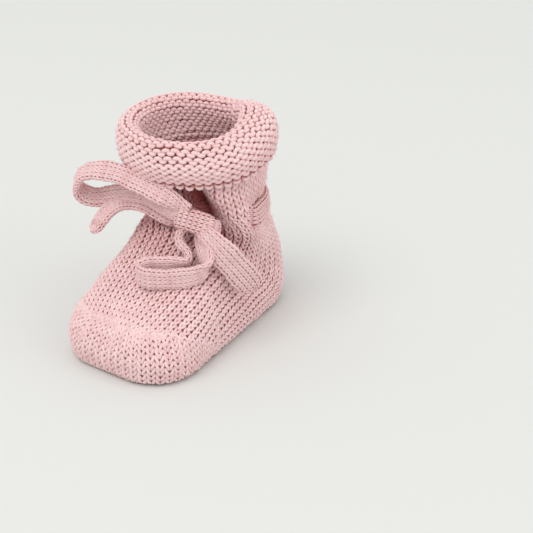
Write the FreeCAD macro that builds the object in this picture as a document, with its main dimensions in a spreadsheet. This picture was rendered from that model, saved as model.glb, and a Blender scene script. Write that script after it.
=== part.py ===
import FreeCAD, Part
import math
import os

import Sketcher

# Knitted baby bootie: a foot with its sole, a leg tube whose top is turned down
# into a thick soft cuff, seams, and a flat knitted tie that runs through slots
# at the ankle and ends in a bow. Millimetres, +Z up, toe towards -Y, sole at
# Z = 0, origin in the middle of the foot's footprint.

doc = FreeCAD.newDocument("baby_bootie")
Vector = FreeCAD.Vector

# ---------------------------------------------------------------- sizes
SIZES = {
    "fabric": 2.4,             # thickness of the knitted fabric
    "sole_thickness": 2.4,
    "ankle_height": 44.0,      # where the foot ends and the leg starts
    "leg_turn_height": 70.0,   # where the leg starts to turn over into the cuff
    "cuff_top_height": 75.5,
    "cuff_hem_height": 59.5,
    "leg_twist": 36.0,         # the long axis of the oval leg, from +X, in degrees
    "toe_line": -32.0,         # where the toe shaping starts
    "heel_line": 26.0,         # where the heel starts
    "instep_half_width": 16.0,
    "instep_low_edge": 13.5,
    "seam_width": 2.0,
    "seam_angle": 50.0,        # place of the leg seam round the leg, from +X
    "tie_width": 7.0,
    "tie_tube": 4.0,           # round stand-in of the flat tie
    "band_low_edge": 42.0,
    "knot_length": 15.0,
    "knot_height": 11.0,
    "knot_depth": 10.0,
    "knot_place_x": 11.9,
    "knot_place_y": -6.4,
    "knot_place_z": 48.0,
    "reach": 200.0,            # large enough to cut through anything
}

# Levels of the foot: height, front edge, half of the straight front, corner
# radius, back edge, heel radius, sideways shift, wall at the front.
FOOT_COLUMNS = ("height", "front", "flat", "corner", "back", "heel", "shift", "wall")
FOOT_LEVELS = [
    (0.0, -44.5, 9.0, 15.5, 43.5, 17.5, 1.7, 2.4),
    (3.0, -46.2, 9.0, 17.0, 45.5, 19.0, 1.7, 2.4),
    (9.0, -46.5, 9.0, 17.5, 46.5, 20.0, 1.7, 2.4),
    (15.0, -43.0, 8.0, 17.5, 46.5, 20.0, 1.4, 3.2),
    (20.0, -36.0, 6.5, 17.5, 46.0, 20.0, 0.8, 4.2),
    (26.0, -27.0, 4.5, 18.0, 44.5, 19.5, 0.5, 4.2),
    (32.0, -18.5, 3.0, 18.0, 42.5, 19.5, 0.2, 4.0),
    (38.0, -10.5, 3.0, 17.5, 40.0, 19.5, 0.2, 3.2),
    (44.0, -6.0, 3.0, 17.5, 38.0, 19.5, 0.2, 2.4),
]

# Levels of the leg and of the cuff: height, centre x, centre y, half length
# along the twisted long axis, half width across it.
OVAL_COLUMNS = ("height", "middle_x", "middle_y", "long", "short")
LEG_LEVELS = [
    (44.0, 0.2, 16.0, 20.5, 21.0),
    (50.0, 0.2, 16.0, 20.5, 20.0),
    (58.0, -0.4, 14.5, 22.0, 20.0),
    (66.0, -0.8, 13.0, 23.5, 20.0),
    (76.5, -1.1, 12.0, 25.0, 20.5),
]
CUFF_LEVELS = [
    (59.5, -0.8, 13.0, 26.0, 22.5),
    (62.5, -1.0, 12.5, 28.0, 24.0),
    (69.0, -1.1, 12.0, 28.5, 24.5),
    (73.5, -1.1, 12.0, 27.7, 23.5),
    (75.5, -1.1, 12.0, 26.4, 22.0),
]
BAND_LEVELS = [
    (40.0, 0.3, 16.0, 22.8, 23.4),
    (57.0, 0.3, 16.0, 22.6, 22.0),
]

# Routes of the tie, each from just inside the knot outwards. Loops go back in.
UPPER_LOOP = [
    (11.7, -9.6, 52.0), (3.0, -12.2, 55.8), (-6.6, -13.8, 58.8), (-16.0, -15.0, 61.0),
    (-23.7, -17.0, 60.9), (-30.5, -20.1, 59.4), (-34.7, -20.5, 52.4), (-30.1, -16.5, 47.9),
    (-23.6, -12.6, 49.4), (-15.4, -10.4, 52.2), (-6.4, -9.8, 52.6), (1.4, -11.2, 51.2),
    (8.1, -11.0, 49.2),
]
RIGHT_TAIL = [
    (17.3, -3.7, 47.0), (21.8, -6.6, 43.6), (25.8, -6.6, 38.2), (28.4, -3.6, 32.0),
    (29.2, 0.8, 26.6), (29.4, 3.4, 21.8),
]
LOWER_LOOP = [
    (13.9, -7.4, 43.8), (16.2, -10.0, 40.6), (19.2, -11.6, 37.4), (22.0, -14.0, 34.0),
    (22.3, -18.7, 31.9), (18.3, -24.1, 30.6), (12.8, -28.2, 30.2), (5.9, -30.5, 30.3),
    (-0.8, -25.6, 34.2), (4.0, -20.7, 36.8), (9.6, -17.8, 38.6), (12.2, -14.8, 42.2),
    (10.5, -10.6, 45.0),
]
LEFT_TAIL = [
    (7.0, -8.2, 45.4), (2.0, -10.4, 45.2), (-3.8, -10.2, 46.2), (-9.4, -9.8, 47.0),
    (-14.2, -11.2, 47.0), (-17.6, -15.0, 45.6), (-19.8, -19.6, 42.4), (-21.2, -24.6, 38.4),
]

sheet = doc.addObject("Spreadsheet::Sheet", "sizes")


def fill_sheet():
    """Write every size into the sheet, one row each, with its name as the alias."""
    rows = list(SIZES.items())
    tables = (("foot", FOOT_COLUMNS, FOOT_LEVELS), ("leg", OVAL_COLUMNS, LEG_LEVELS),
              ("cuff", OVAL_COLUMNS, CUFF_LEVELS), ("band", OVAL_COLUMNS, BAND_LEVELS))
    for table, columns, levels in tables:
        for number, level in enumerate(levels):
            for column, value in zip(columns, level):
                rows.append((f"{table}_{column}_{number}", value))
    for row, (name, value) in enumerate(rows, start=1):
        sheet.set(f"A{row}", name)
        sheet.set(f"B{row}", str(value))
        sheet.setAlias(f"B{row}", name)
    doc.recompute()


fill_sheet()
CELL = "<<sizes>>."


def value(name):
    return float(sheet.get(name))


def bind(thing, **expressions):
    for prop, expression in expressions.items():
        thing.setExpression(prop, expression)
    return thing


# ---------------------------------------------------------------- outlines
def foot_outline(number, inner):
    """A level of the foot: straight front, two corner arcs, straight sides and
    a heel arc, as a sketch whose constraints read the sheet."""
    level = {column: f"{CELL}foot_{column}_{number}" for column in FOOT_COLUMNS}
    size = {column: value(f"foot_{column}_{number}") for column in FOOT_COLUMNS}
    skin, wall = (value("fabric"), size["wall"]) if inner else (0.0, 0.0)
    corner, heel = size["corner"] - skin, size["heel"] - skin
    corner_y = size["front"] + wall + corner
    heel_y = size["back"] - size["heel"]
    flat = size["flat"]

    lean = math.atan2(heel_y - corner_y, -flat)
    turn = lean - math.pi / 2 + math.asin((corner - heel) / math.hypot(flat, heel_y - corner_y))
    unit = Vector(math.cos(turn), math.sin(turn), 0)
    mirror = Vector(-unit.x, unit.y, 0)
    right, left = Vector(flat, corner_y, 0), Vector(-flat, corner_y, 0)
    back = Vector(0, heel_y, 0)
    normal = Vector(0, 0, 1)

    name = f"foot_{'inside' if inner else 'outside'}_{number}"
    sketch = doc.addObject("Sketcher::SketchObject", name)
    low = Vector(0, -corner, 0)

    def arc(middle, radius, start, end):
        return Part.ArcOfCircle(Part.Circle(middle, normal, radius), start, end)

    sketch.addGeometry([
        Part.LineSegment(left + low, right + low),
        arc(right, corner, -math.pi / 2, turn),
        Part.LineSegment(right + unit * corner, back + unit * heel),
        arc(back, heel, turn, math.pi - turn),
        Part.LineSegment(back + mirror * heel, left + mirror * corner),
        arc(left, corner, math.pi - turn, 1.5 * math.pi),
    ], False)
    for edge in range(6):
        sketch.addConstraint(Sketcher.Constraint("Tangent", edge, 2, (edge + 1) % 6, 1))
    less = f" - {CELL}fabric" if inner else ""
    front_wall = f" + {level['wall']}" if inner else ""
    centre_y = f"{level['front']}{front_wall} + {level['corner']}{less}"
    for kind, edge, start, expression in (
            ("Radius", 1, corner, f"{level['corner']}{less}"),
            ("Radius", 5, corner, f"{level['corner']}{less}"),
            ("Radius", 3, heel, f"{level['heel']}{less}"),
            ("DistanceX", 1, flat, level["flat"]),
            ("DistanceX", 5, -flat, f"-{level['flat']}"),
            ("DistanceX", 3, 0.0, None),
            ("DistanceY", 1, corner_y, centre_y),
            ("DistanceY", 5, corner_y, centre_y),
            ("DistanceY", 3, heel_y, f"{level['back']} - {level['heel']}")):
        if kind == "Radius":
            index = sketch.addConstraint(Sketcher.Constraint(kind, edge, start))
        else:
            index = sketch.addConstraint(Sketcher.Constraint(kind, -1, 1, edge, 3, start))
        if expression:
            sketch.setExpression(f".Constraints[{index}]", expression)
    sketch.setExpression("Placement.Base.x", level["shift"])
    sketch.setExpression("Placement.Base.z", level["height"])
    return sketch


def oval_outline(table, number, less=""):
    """A level of the leg, the cuff or the ankle band: a twisted oval."""
    cell = {column: f"{CELL}{table}_{column}_{number}" for column in OVAL_COLUMNS}
    long_half, short_half = value(f"{table}_long_{number}"), value(f"{table}_short_{number}")
    oval = doc.addObject("Part::Ellipse", f"{table}_oval_{number}{'_in' if less else ''}")
    oval.Placement.Rotation = FreeCAD.Rotation(Vector(0, 0, 1), value("leg_twist"))
    oval.MajorRadius = max(long_half, short_half)
    if long_half >= short_half:
        bind(oval, MajorRadius=cell["long"] + less, MinorRadius=cell["short"] + less)
        oval.setExpression("Placement.Rotation.Angle", f"{CELL}leg_twist")
    else:
        bind(oval, MajorRadius=cell["short"] + less, MinorRadius=cell["long"] + less)
        oval.setExpression("Placement.Rotation.Angle", f"{CELL}leg_twist + 90")
    oval.setExpression("Placement.Base.x", cell["middle_x"])
    oval.setExpression("Placement.Base.y", cell["middle_y"])
    oval.setExpression("Placement.Base.z", cell["height"])
    return oval


def loft(name, sections):
    skin = doc.addObject("Part::Loft", name)
    skin.Sections = sections
    skin.Solid = True
    skin.Ruled = False
    return skin


def cut(name, base, *tools):
    for number, tool in enumerate(tools):
        last = number == len(tools) - 1
        result = doc.addObject("Part::Cut", name if last else f"{name}_step_{number}")
        result.Base, result.Tool = base, tool
        base = result
    return base


def common(name, base, *tools):
    for number, tool in enumerate(tools):
        last = number == len(tools) - 1
        result = doc.addObject("Part::Common", name if last else f"{name}_step_{number}")
        result.Base, result.Tool = base, tool
        base = result
    return base


def block(name, low, high):
    """A cutting box between two corners, each corner three expressions."""
    box = doc.addObject("Part::Box", name)
    for axis, prop, a, b in zip("xyz", ("Length", "Width", "Height"), low, high):
        box.setExpression(f"Placement.Base.{axis}", a)
        box.setExpression(prop, f"({b}) - ({a})")
    return box


# ---------------------------------------------------------------- foot
far, near = f"{CELL}reach", f"-{CELL}reach"
sole_top, ankle = f"{CELL}sole_thickness", f"{CELL}ankle_height"
toe, heel_start = f"{CELL}toe_line", f"{CELL}heel_line"
instep_side, instep_edge = f"{CELL}instep_half_width", f"{CELL}instep_low_edge"

foot_levels = range(len(FOOT_LEVELS))
foot_outside = loft("foot_outside", [foot_outline(n, False) for n in foot_levels])
foot_inside = loft("foot_inside", [foot_outline(n, True) for n in foot_levels])

below_sole_top = block("below_sole_top", (near, near, near), (far, far, sole_top))
toe_block = block("toe_block", (near, near, sole_top), (far, toe, ankle))
heel_block = block("heel_block", (near, heel_start, sole_top), (far, far, ankle))
instep_block = block("instep_block", (f"-{instep_side}", toe, instep_edge), (instep_side, "0", ankle))
left_block = block("left_block", (near, toe, sole_top), ("0", heel_start, ankle))
right_block = block("right_block", ("0", toe, sole_top), (far, heel_start, ankle))

sole = common("sole", foot_outside, below_sole_top)
foot_wall = cut("foot_wall", foot_outside, foot_inside, below_sole_top)
toe_cap = common("toe_cap", foot_wall, toe_block)
heel_panel = common("heel_panel", foot_wall, heel_block)
instep_panel = common("instep_panel", foot_wall, instep_block)
left_side = cut("left_side_panel", common("left_half", foot_wall, left_block), instep_block)
right_side = cut("right_side_panel", common("right_half", foot_wall, right_block), instep_block)

# ---------------------------------------------------------------- leg and cuff
leg_levels, cuff_levels = range(len(LEG_LEVELS)), range(len(CUFF_LEVELS))
leg_outside = loft("leg_outside", [oval_outline("leg", n) for n in leg_levels])
leg_inside = loft("leg_inside", [oval_outline("leg", n, f" - {CELL}fabric") for n in leg_levels])
cuff_outside = loft("cuff_outside", [oval_outline("cuff", n) for n in cuff_levels])

turn_height = f"{CELL}leg_turn_height"
above_turn = block("above_turn", (near, near, turn_height), (far, far, far))
below_turn = block("below_turn", (near, near, near), (far, far, turn_height))


def seam_block():
    """A thin radial blade that parts the seam from the fabric on both sides."""
    blade = doc.addObject("Part::Box", "seam_blade")
    bind(blade, Length=f"{CELL}reach", Width=f"{CELL}seam_width", Height=f"{CELL}reach")
    turn = f"{CELL}seam_angle"
    half = f"{CELL}seam_width / 2"
    blade.Placement.Rotation = FreeCAD.Rotation(Vector(0, 0, 1), value("seam_angle"))
    blade.setExpression("Placement.Rotation.Angle", turn)
    blade.setExpression("Placement.Base.x", f"{CELL}leg_middle_x_2 + {half} * sin({turn})")
    blade.setExpression("Placement.Base.y", f"{CELL}leg_middle_y_2 - {half} * cos({turn})")
    return blade


seam_blade = seam_block()
leg_wall = cut("leg_wall", leg_outside, leg_inside, above_turn)
leg_tube = cut("leg_tube", leg_wall, seam_blade)
leg_seam = common("leg_seam", leg_wall, seam_blade)
fold_ring = cut("fold_ring", cuff_outside, leg_inside, below_turn)
turn_ring = cut("turn_ring", cuff_outside, leg_outside, above_turn)
cuff_fold = cut("cuff_fold", fold_ring, seam_blade)
cuff_turnover = cut("cuff_turnover", turn_ring, seam_blade)
seam_upper = common("seam_upper", fold_ring, seam_blade)
seam_lower = common("seam_lower", turn_ring, seam_blade)
cuff_seam = doc.addObject("Part::Fuse", "cuff_seam")
cuff_seam.Base, cuff_seam.Tool = seam_upper, seam_lower

# ---------------------------------------------------------------- tie
band_outside = loft("band_outside", [oval_outline("band", n) for n in range(len(BAND_LEVELS))])
band_low = f"{CELL}band_low_edge"
band_block = block("band_block", (near, near, band_low), (far, far, f"{band_low} + {CELL}tie_width"))
band_ring = common("band_ring", band_outside, band_block)
band = cut("tie_ankle_band", band_ring, foot_outside, leg_outside)

knot_form = doc.addObject("Part::Ellipsoid", "knot_form")
bind(knot_form, Radius1=f"{CELL}knot_height / 2", Radius2=f"{CELL}knot_length / 2",
     Radius3=f"{CELL}knot_depth / 2")
knot_form.Placement.Rotation = FreeCAD.Rotation(Vector(0, 0, 1), value("leg_twist"))
knot_form.setExpression("Placement.Rotation.Angle", f"{CELL}leg_twist")
for axis in "xyz":
    knot_form.setExpression(f"Placement.Base.{axis}", f"{CELL}knot_place_{axis}")


def tube_along(name, route, diameter):
    """A round tube of straight runs joined by tangent arcs, each arc as large
    as its two runs allow. Prints the arc radii."""
    points = [Vector(*point) for point in route]
    edges, radii, start = [], [], points[0]
    for before, corner, after in zip(points, points[1:], points[2:]):
        back, ahead = before - corner, after - corner
        half_turn = (math.pi - back.getAngle(ahead)) / 2
        reach = 0.45 * min(back.Length, ahead.Length)
        radii.append(reach / math.tan(half_turn))
        back.normalize()
        ahead.normalize()
        first, last = corner + back * reach, corner + ahead * reach
        bisector = (back + ahead).normalize()
        centre = corner + bisector * (radii[-1] / math.cos(half_turn))
        middle = centre - bisector * radii[-1]
        edges.append(Part.LineSegment(start, first).toShape())
        edges.append(Part.Arc(first, middle, last).toShape())
        start = last
    edges.append(Part.LineSegment(start, points[-1]).toShape())
    spine = Part.Wire(edges)
    heading = points[1] - points[0]
    profile = Part.Wire([Part.makeCircle(diameter / 2, points[0], heading)])
    tube = spine.makePipeShell([profile], True, False)
    expected = math.pi * diameter ** 2 / 4 * spine.Length
    print(f"{name}: length {spine.Length:.1f} mm, arc radii "
          f"{' '.join(f'{radius:.1f}' for radius in radii)}, volume ratio {tube.Volume / expected:.3f}")
    return tube


def tie_stretch(name, route):
    """A stretch of the tie outside the knot, which starts in its own socket."""
    node = doc.addObject("Part::Feature", name)
    node.Shape = tube_along(name, route, value("tie_tube"))
    return node


stretches = [tie_stretch("tie_upper_loop", UPPER_LOOP), tie_stretch("tie_right_tail", RIGHT_TAIL),
             tie_stretch("tie_lower_loop", LOWER_LOOP), tie_stretch("tie_left_tail", LEFT_TAIL)]
knot = cut("tie_knot", knot_form, band_outside, *stretches)

# ---------------------------------------------------------------- output
NODES = [sole, toe_cap, instep_panel, left_side, right_side, heel_panel, leg_tube, leg_seam,
         cuff_fold, cuff_turnover, cuff_seam, band, knot] + stretches

doc.recompute()
for thing in doc.Objects:
    if "Invalid" in thing.State or "Error" in thing.State:
        raise RuntimeError(f"{thing.Name} failed: {thing.State}")
for node in NODES:
    node.Label = node.Name
    if node.Shape.isNull() or not node.Shape.isValid() or not node.Shape.Solids:
        raise RuntimeError(f"{node.Label} has no valid solid")

os.makedirs("parts", exist_ok=True)
for node in NODES:
    node.Shape.exportStep(f"parts/{node.Label}.step")
    box = node.Shape.BoundBox
    print(f"{node.Label}: {len(node.Shape.Solids)} solid, {node.Shape.Volume:.0f} mm3, "
          f"x {box.XMin:.1f} {box.XMax:.1f} y {box.YMin:.1f} {box.YMax:.1f} z {box.ZMin:.1f} {box.ZMax:.1f}")
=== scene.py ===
import math

import bpy
import numpy as np
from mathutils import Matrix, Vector


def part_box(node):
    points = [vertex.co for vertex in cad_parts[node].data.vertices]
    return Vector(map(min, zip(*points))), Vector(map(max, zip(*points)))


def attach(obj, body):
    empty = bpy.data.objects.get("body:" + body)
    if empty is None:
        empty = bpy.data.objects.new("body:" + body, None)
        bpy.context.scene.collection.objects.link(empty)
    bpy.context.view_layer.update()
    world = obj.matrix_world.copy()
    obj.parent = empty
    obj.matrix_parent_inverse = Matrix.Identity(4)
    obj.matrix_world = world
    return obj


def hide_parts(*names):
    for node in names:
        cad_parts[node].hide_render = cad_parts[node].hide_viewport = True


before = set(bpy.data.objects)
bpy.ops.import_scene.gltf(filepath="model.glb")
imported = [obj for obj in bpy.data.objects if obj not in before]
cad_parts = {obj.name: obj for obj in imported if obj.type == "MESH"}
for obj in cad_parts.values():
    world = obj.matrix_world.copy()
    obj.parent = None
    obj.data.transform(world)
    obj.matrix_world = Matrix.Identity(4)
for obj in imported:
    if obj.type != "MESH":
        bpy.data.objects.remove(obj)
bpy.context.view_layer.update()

# A knitted baby bootie, built stitch by stitch: every visible loop of yarn is
# real geometry that follows one smooth surface. Millimetres inside, metres out.

MM = 0.001
rng = np.random.default_rng(7)
TWIST = math.radians(36.0)     # the long axis of the leg's oval, from +X
LEG_X, LEG_Y = 0.2, 16.0       # the leg's axis


def new_object(name, data):
    """An object with this data, in the scene."""
    thing = bpy.data.objects.new(name, data)
    bpy.context.scene.collection.objects.link(thing)
    return thing


# ---- camera
def make_camera():
    """Looks down on the bootie from its toe's side and +X, 0.44 m away."""
    back = Vector((0.526, -0.724, 0.446)).normalized()
    right = Vector((0.809, 0.588, 0.0)).normalized()
    up = back.cross(right)
    data = bpy.data.cameras.new("camera")
    data.sensor_width = 36.0
    data.lens = 82.6
    data.clip_start, data.clip_end = 0.01, 10.0
    camera = new_object("camera", data)
    camera.rotation_mode = "QUATERNION"
    camera.rotation_quaternion = (-back).to_track_quat("-Z", "Y")
    target = Vector((0.0, 0.0, 0.038))
    camera.location = target + right * 0.03007 - up * 0.01349 + back * 0.440
    bpy.context.scene.camera = camera


make_camera()

# Levels of the foot: height, front edge, half of the straight front, corner
# radius, back edge, heel radius, sideways shift.
FOOT = [
    (0.0, -44.5, 9.0, 15.5, 43.5, 17.5, 1.7), (3.0, -46.2, 9.0, 17.0, 45.5, 19.0, 1.7),
    (9.0, -46.5, 9.0, 17.5, 46.5, 20.0, 1.7), (15.0, -43.0, 8.0, 17.5, 46.5, 20.0, 1.4),
    (20.0, -36.0, 6.5, 17.5, 46.0, 20.0, 0.8), (26.0, -27.0, 4.5, 18.0, 44.5, 19.5, 0.5),
    (32.0, -18.5, 3.0, 18.0, 42.5, 19.5, 0.2), (38.0, -10.5, 3.0, 17.5, 40.0, 19.5, 0.2),
]
# Leg, and its top turned over into the cuff: height, centre x and y, half length
# along the twisted long axis, half width across it.
LEG = [
    (44.0, 0.2, 16.0, 20.6, 21.2), (50.0, 0.2, 16.0, 20.5, 20.0), (58.0, -0.4, 14.5, 22.0, 20.0),
    (64.0, -0.7, 13.4, 23.0, 19.8),
]
TURN = [
    (67.0, -2.8, 11.9, 20.2, 19.0), (71.0, -4.0, 10.9, 18.9, 18.6), (74.0, -4.4, 10.7, 18.7, 18.6),
    (76.0, -4.7, 10.7, 19.9, 19.8), (76.2, -4.1, 10.9, 23.8, 22.2), (73.2, -2.8, 11.4, 26.6, 23.4),
    (68.8, -1.8, 11.6, 27.4, 24.0), (65.0, -1.5, 11.9, 27.2, 24.0), (62.0, -1.3, 12.3, 26.6, 23.4),
    (59.8, -1.2, 12.7, 26.0, 22.8), (57.4, -1.1, 13.0, 25.4, 22.2),
]


# ---- small geometry tools
def unit(v):
    """The vectors at length 1."""
    return v / np.maximum(np.linalg.norm(v, axis=-1, keepdims=True), 1e-9)


def smooth(low, high, x):
    """0 at low, 1 at high and an even slope between."""
    t = np.clip((np.asarray(x, float) - low) / (high - low), 0.0, 1.0)
    return t * t * (3.0 - 2.0 * t)


def window(low, full, still_full, high, x):
    """0 below low, 1 from full to still_full, and 0 again past high."""
    return smooth(low, full, x) * (1 - smooth(still_full, high, x))


def lengths(points):
    """Distance along each polyline; points are [..., n, 3]."""
    step = np.linalg.norm(np.diff(points, axis=-2), axis=-1)
    return np.concatenate([np.zeros(step.shape[:-1] + (1,)), np.cumsum(step, axis=-1)], axis=-1)


def read_at(at, along, points):
    """The polyline's points at the places at, where along are its own points' places."""
    return np.stack([np.interp(at, along, values) for values in points.T], -1)


def spaced(points, count, closed=True):
    """The same polyline with evenly spaced points."""
    if closed:
        points = np.vstack([points, points[:1]])
    along = lengths(points)
    return read_at(np.linspace(0.0, along[-1], count, endpoint=not closed), along, points)


def through(rows, steps):
    """Catmull-Rom rows between the given rows: [k, ...] to [(k-1)*steps+1, ...]."""
    rows = np.asarray(rows, float)
    padded = np.concatenate([2 * rows[:1] - rows[1:2], rows, 2 * rows[-1:] - rows[-2:-1]])
    result = []
    for k in range(len(rows) - 1):
        a, b, c, d = padded[k:k + 4]
        for t in np.arange(steps) / steps:
            result.append(0.5 * (2 * b + (c - a) * t + (2 * a - 5 * b + 4 * c - d) * t * t
                                 + (3 * b - a - 3 * c + d) * t ** 3))
    return np.array(result + [rows[-1]])


RING = 256      # points round a level


def foot_ring(z, front, flat, corner, back, heel, shift):
    """A level of the foot from the front centre, round by +X."""
    middle, end = np.array([flat, front + corner]), np.array([0.0, back - heel])
    run = end - middle
    turn = math.atan2(run[1], run[0]) - math.pi / 2 + math.asin((corner - heel) / np.hypot(*run))
    first, last = np.linspace(-math.pi / 2, turn, 40), np.linspace(turn, math.pi / 2, 48)
    half = np.vstack([[0.0, front], middle + corner * np.c_[np.cos(first), np.sin(first)],
                      end + heel * np.c_[np.cos(last), np.sin(last)]])
    ring = spaced(np.vstack([half, half[::-1][1:-1] * [-1, 1]]), RING)
    return np.c_[ring[:, 0] + shift, ring[:, 1], np.full(RING, z)]


def oval_ring(z, x, y, long_half, short_half):
    """A level of the leg from its front point, round by +X."""
    turn = np.linspace(0, math.tau, 721)[:-1] - math.pi / 2
    along, across = np.cos(turn - TWIST) * long_half, np.sin(turn - TWIST) * short_half
    flat = np.c_[along * math.cos(TWIST) - across * math.sin(TWIST),
                 along * math.sin(TWIST) + across * math.cos(TWIST)]
    start = np.argmin(np.abs(np.arctan2(flat[:, 0], -flat[:, 1])))
    ring = spaced(np.roll(flat, -start, axis=0), RING)
    return np.c_[ring + [x, y], np.full(RING, z)]


def grid_normals(grid, closed=True):
    """Outward normals of a [row, ring, 3] grid."""
    if closed:
        around = np.roll(grid, -1, axis=1) - np.roll(grid, 1, axis=1)
    else:
        around = np.gradient(grid, axis=1)
    return unit(np.cross(around, np.gradient(grid, axis=0)))


class Sheet:
    """A smooth surface S(p, q): p runs round from 0 to 1, q counts rows."""

    def __init__(self, grid, closed=True, outward=1.0):
        self.grid, self.closed = grid, closed
        self.normals = grid_normals(grid, closed) * outward

    def distances(self):
        """How far each row lies along the sheet, on average round it."""
        return lengths(self.grid.transpose(1, 0, 2)).mean(0)

    def at(self, p, q):
        """Points and normals at p and q."""
        rows, count = self.grid.shape[:2]
        y = np.clip(q, 0.0, rows - 1.001)
        x = np.mod(p, 1.0) * count if self.closed else np.clip(p, 0.0, 1.0) * (count - 1)
        row, column = np.floor(y).astype(int), np.floor(x).astype(int) % count
        after = (column + 1) % count
        up, across = (y - np.floor(y))[..., None], (x - np.floor(x))[..., None]

        def mix(a):
            low = a[row, column] * (1 - across) + a[row, after] * across
            high = a[row + 1, column] * (1 - across) + a[row + 1, after] * across
            return low * (1 - up) + high * up
        return mix(self.grid), unit(mix(self.normals))


# ---- the body's surface
SKIN = 1.15     # from the outside of the fabric to the middle of its thickness


def body_grid():
    """The smooth outside in rings, from the middle of the sole up to the leg's top."""
    z, front, flat, corner, back, heel, shift = FOOT[0]
    sole = []
    for inset in (15.0, 12.0, 9.0, 6.0, 3.5, 1.6):
        sole.append(foot_ring(0.0, front + inset, flat, corner - inset, back - inset,
                              heel - inset, shift))
    spine = sole[0].copy()
    spine[:, 0] = shift
    rows = [spine] + sole + [foot_ring(*level) for level in FOOT]
    rows += [oval_ring(*level) for level in LEG]
    grid = through(rows, 8)
    grid[:, :, 2] = np.maximum(grid[:, :, 2], 0.0)
    return grid


def push(grid, amount):
    """The grid moved along its own normals."""
    return grid + grid_normals(grid) * np.asarray(amount)[..., None]


def around_leg(points):
    """Angle of each point round the leg's axis, from -Y towards +X, in degrees."""
    return np.degrees(np.arctan2(points[..., 0] - LEG_X, -(points[..., 1] - LEG_Y)))


def from_axis(points):
    """Distance of each point from the leg's axis."""
    return np.hypot(points[..., 0] - LEG_X, points[..., 1] - LEG_Y)


def turned(angle, centre):
    """The turn from centre to angle, from -180 to 180 degrees."""
    return (angle - centre + 180.0) % 360.0 - 180.0


def bump(angle, centre, width):
    """1 at an angle, falling to 0 on both sides of it; degrees."""
    return np.exp(-(turned(angle, centre) / width) ** 2)


def hollow_line(z):
    """Angle of the hollow that slants down from under the cuff, past the knot
    and along the tail."""
    return 39.0 + 1.7 * (47.0 - np.clip(z, 26.0, 58.0))


def past_hollow(points):
    """Degrees round the leg from the line of the hollow."""
    return (around_leg(points) - hollow_line(points[..., 2]) + 90.0) % 360.0 - 90.0


TIE_Z = 45.5            # middle of the tie round the ankle, mm
HOLLOW_DEPTH = 7.5
PLUMP_HEIGHT = 3.6
WAIST_DEPTH = 1.2
GATHER_HEIGHT = 0.6
GATHERS = 17.0          # gathers in a full turn


def ankle_relief(points):
    """Where the tie gathers the ankle: a slanting hollow beside the knot, the
    plump fold next to it that covers the tie, and small gathers over the instep."""
    angle, z, past = around_leg(points), points[..., 2], past_hollow(points)
    hollow = np.exp(-((past + 3.0) / 12.0) ** 2) * window(25.0, 42.0, 58.0, 68.0, z)
    plump = window(2.0, 18.0, 26.0, 62.0, past) * window(24.0, 40.0, 54.0, 66.0, z)
    waist = np.exp(-((z - TIE_Z) / 4.0) ** 2) * (1 - bump(angle, 58.0, 22.0))
    front = bump(angle, -22.0, 48.0) * np.exp(-((z - 40.0) / 9.0) ** 2)
    gathers = np.cos(np.radians(angle) * GATHERS) * front
    return (PLUMP_HEIGHT * plump - HOLLOW_DEPTH * hollow - WAIST_DEPTH * waist
            + GATHER_HEIGHT * gathers)


def soft_waves(points):
    """The slow unevenness of a hand-made thing."""
    x, y, z = points[..., 0], points[..., 1], points[..., 2]
    return (0.28 * np.sin(0.21 * x + 0.13 * y + 1.0) * np.sin(0.17 * z + 0.11 * y)
            + 0.16 * np.sin(0.43 * x - 0.31 * z + 2.0) * np.sin(0.37 * y + 0.2))


def relieved(grid):
    """The middle of the fabric: the smooth outside with its relief, eased over
    the bend of the ankle."""
    grid = grid.copy()
    bend = window(30.0, 38.0, 54.0, 62.0, grid[1:-1, :, 2:])
    for _ in range(40):
        grid[1:-1] += bend * (grid[:-2] - 2 * grid[1:-1] + grid[2:]) / 4
    return push(grid, soft_waves(grid) * smooth(1.5, 8.0, grid[..., 2]) + ankle_relief(grid) - SKIN)


body = relieved(body_grid())

ANKLE = np.array([-13.0, 47.0])    # y and z of the line that the foot's courses fan about


def section(grid, tilt, pivot):
    """The ring where a plane through the pivot cuts the body. Tilt 0 is level,
    90 degrees is square to the foot."""
    along = np.array([0.0, math.cos(tilt), -math.sin(tilt)])
    normal = np.array([0.0, math.sin(tilt), math.cos(tilt)])
    here = np.array([0.0, *pivot])
    height = (grid - here) @ normal
    found = []
    for other, away in ((np.roll(grid, -1, 1), np.roll(height, -1, 1)), (grid[1:], height[1:])):
        rows = len(other)
        a, b, fa, fb = grid[:rows], other, height[:rows], away
        cut = (fa * fb) < 0
        found.append(a[cut] + (b[cut] - a[cut]) * (fa[cut] / (fa[cut] - fb[cut]))[:, None])
    points = np.vstack(found)
    side, depth = points[:, 0], (points - here) @ along
    middle = (side.min() + side.max()) / 2, (depth.min() + depth.max()) / 2
    turn = np.mod(np.arctan2(side - middle[0], middle[1] - depth), math.tau)
    order = np.argsort(turn)
    turn, points = turn[order], points[order]
    wide = np.linspace(0, math.tau, 720, endpoint=False)
    around = np.r_[turn[-1] - math.tau, turn, turn[0] + math.tau]
    closed = np.vstack([points[-1:], points, points[:1]])
    ring = read_at(wide, around, closed)
    for _ in range(3):
        ring = (np.roll(ring, 1, 0) + 2 * ring + np.roll(ring, -1, 0)) / 4
    return spaced(ring, RING)


JOIN = ANKLE[1]     # height at which the leg's rings of stitches take over
OVERLAP = 4         # rings of each sheet beyond the join, so that end stitches keep their shape
TOEWARDS = (-14.5, -44.6, -1.5)     # y of the sections beyond the fan, with their step


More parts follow.
